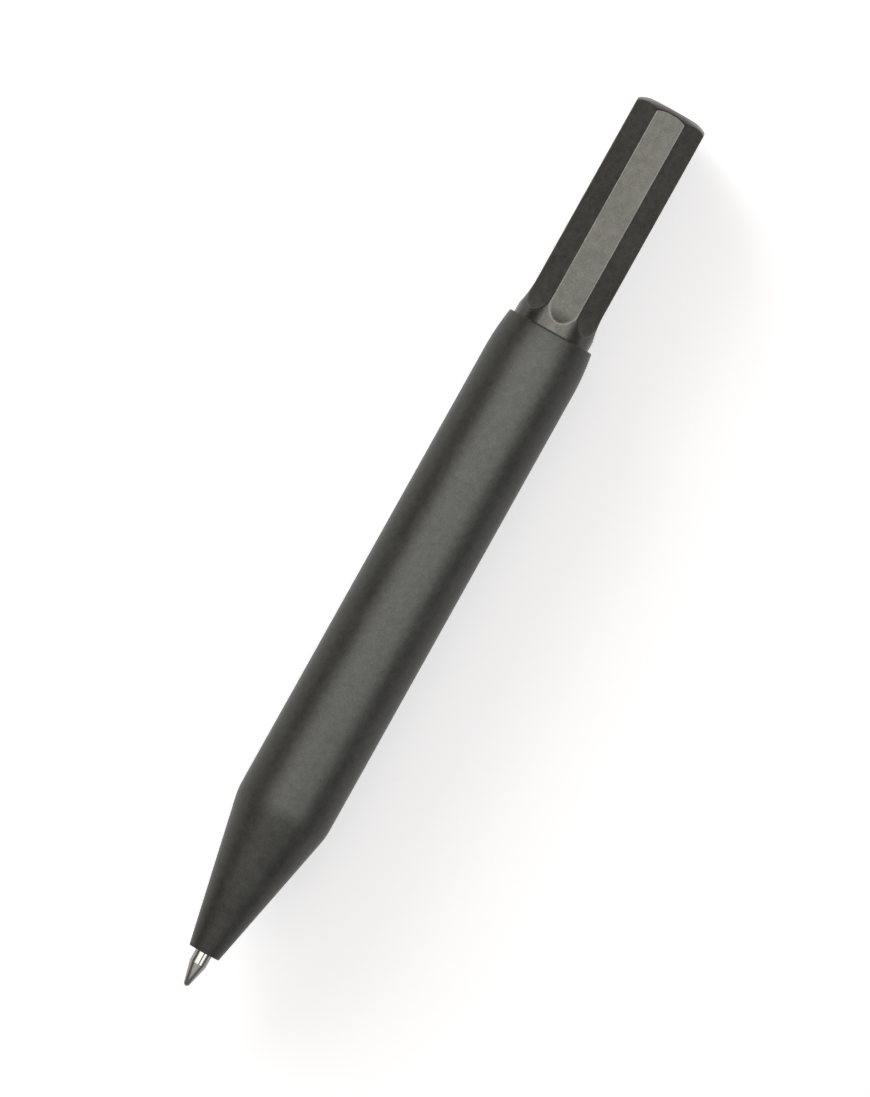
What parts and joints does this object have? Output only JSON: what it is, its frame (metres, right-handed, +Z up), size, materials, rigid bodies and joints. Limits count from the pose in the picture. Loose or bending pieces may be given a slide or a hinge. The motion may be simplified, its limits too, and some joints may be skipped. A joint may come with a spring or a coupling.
{
  "type": "ballpoint pen",
  "caption": "Retractable ballpoint pen with a plain round tapered barrel, a long eight-sided metal plunger and a replaceable refill.",
  "frame": {"origin": "centre of the bounding box at its base: on the surface that the pen lies on, at half its length", "axes": "+X along the pen from the writing point to the plunger's end, +Z up from the surface that it lies on"},
  "size_m": [0.1292, 0.013, 0.013],
  "materials": {
    "barrel_anodised": "fine satin, bead-blasted and anodised charcoal",
    "plunger_anodised": "fine satin, bead-blasted and anodised charcoal",
    "brass": "turned",
    "nickel_silver": "turned, bright",
    "steel": "bright",
    "carbide": "polished",
    "white_acetal": "moulded",
    "grey_acetal": "moulded",
    "black_rubber": "moulded",
    "black_ink": "wet"
  },
  "bodies": {
    "barrel": {"barrel": "barrel_anodised", "mechanism_collar": "brass", "collar_seal": "black_rubber", "bumper_ring": "black_rubber", "stop_sleeve": "grey_acetal", "sleeve_cap": "brass", "snap_ring": "steel", "return_spring": "steel"},
    "plunger": {"plunger": "plunger_anodised", "plunger_insert": "brass", "plunger_ring": "black_rubber", "thrust_cam": "brass", "cam_pin": "steel"},
    "refill": {"refill_point": "nickel_silver", "refill_neck": "brass", "refill_tube": "steel", "refill_plug": "grey_acetal", "refill_ink": "black_ink"},
    "rotor": {"rotor": "white_acetal"},
    "ball": {"refill_ball": "carbide"}
  },
  "joints": [
    {"name": "button_slide", "type": "slide", "parent": "barrel", "child": "plunger", "axis": [1, 0, 0], "range_m": [-0.0011, 0.0055]},
    {"name": "refill_slide", "type": "slide", "parent": "barrel", "child": "refill", "axis": [1, 0, 0], "range_m": [-0.0011, 0.0055], "deforming": ["return_spring"]},
    {"name": "rotor_turn", "type": "hinge", "parent": "refill", "child": "rotor", "pos_m": [0.0366, 0, 0.0065], "axis": [1, 0, 0], "continuous": true},
    {"name": "ball_roll", "type": "hinge", "parent": "refill", "child": "ball", "pos_m": [-0.06425, 0, 0.0065], "axis": [0, 1, 0], "continuous": true}
  ],
  "couplings": [
    {"joint": "refill_slide", "follows": "button_slide", "ratio": 1}
  ]
}
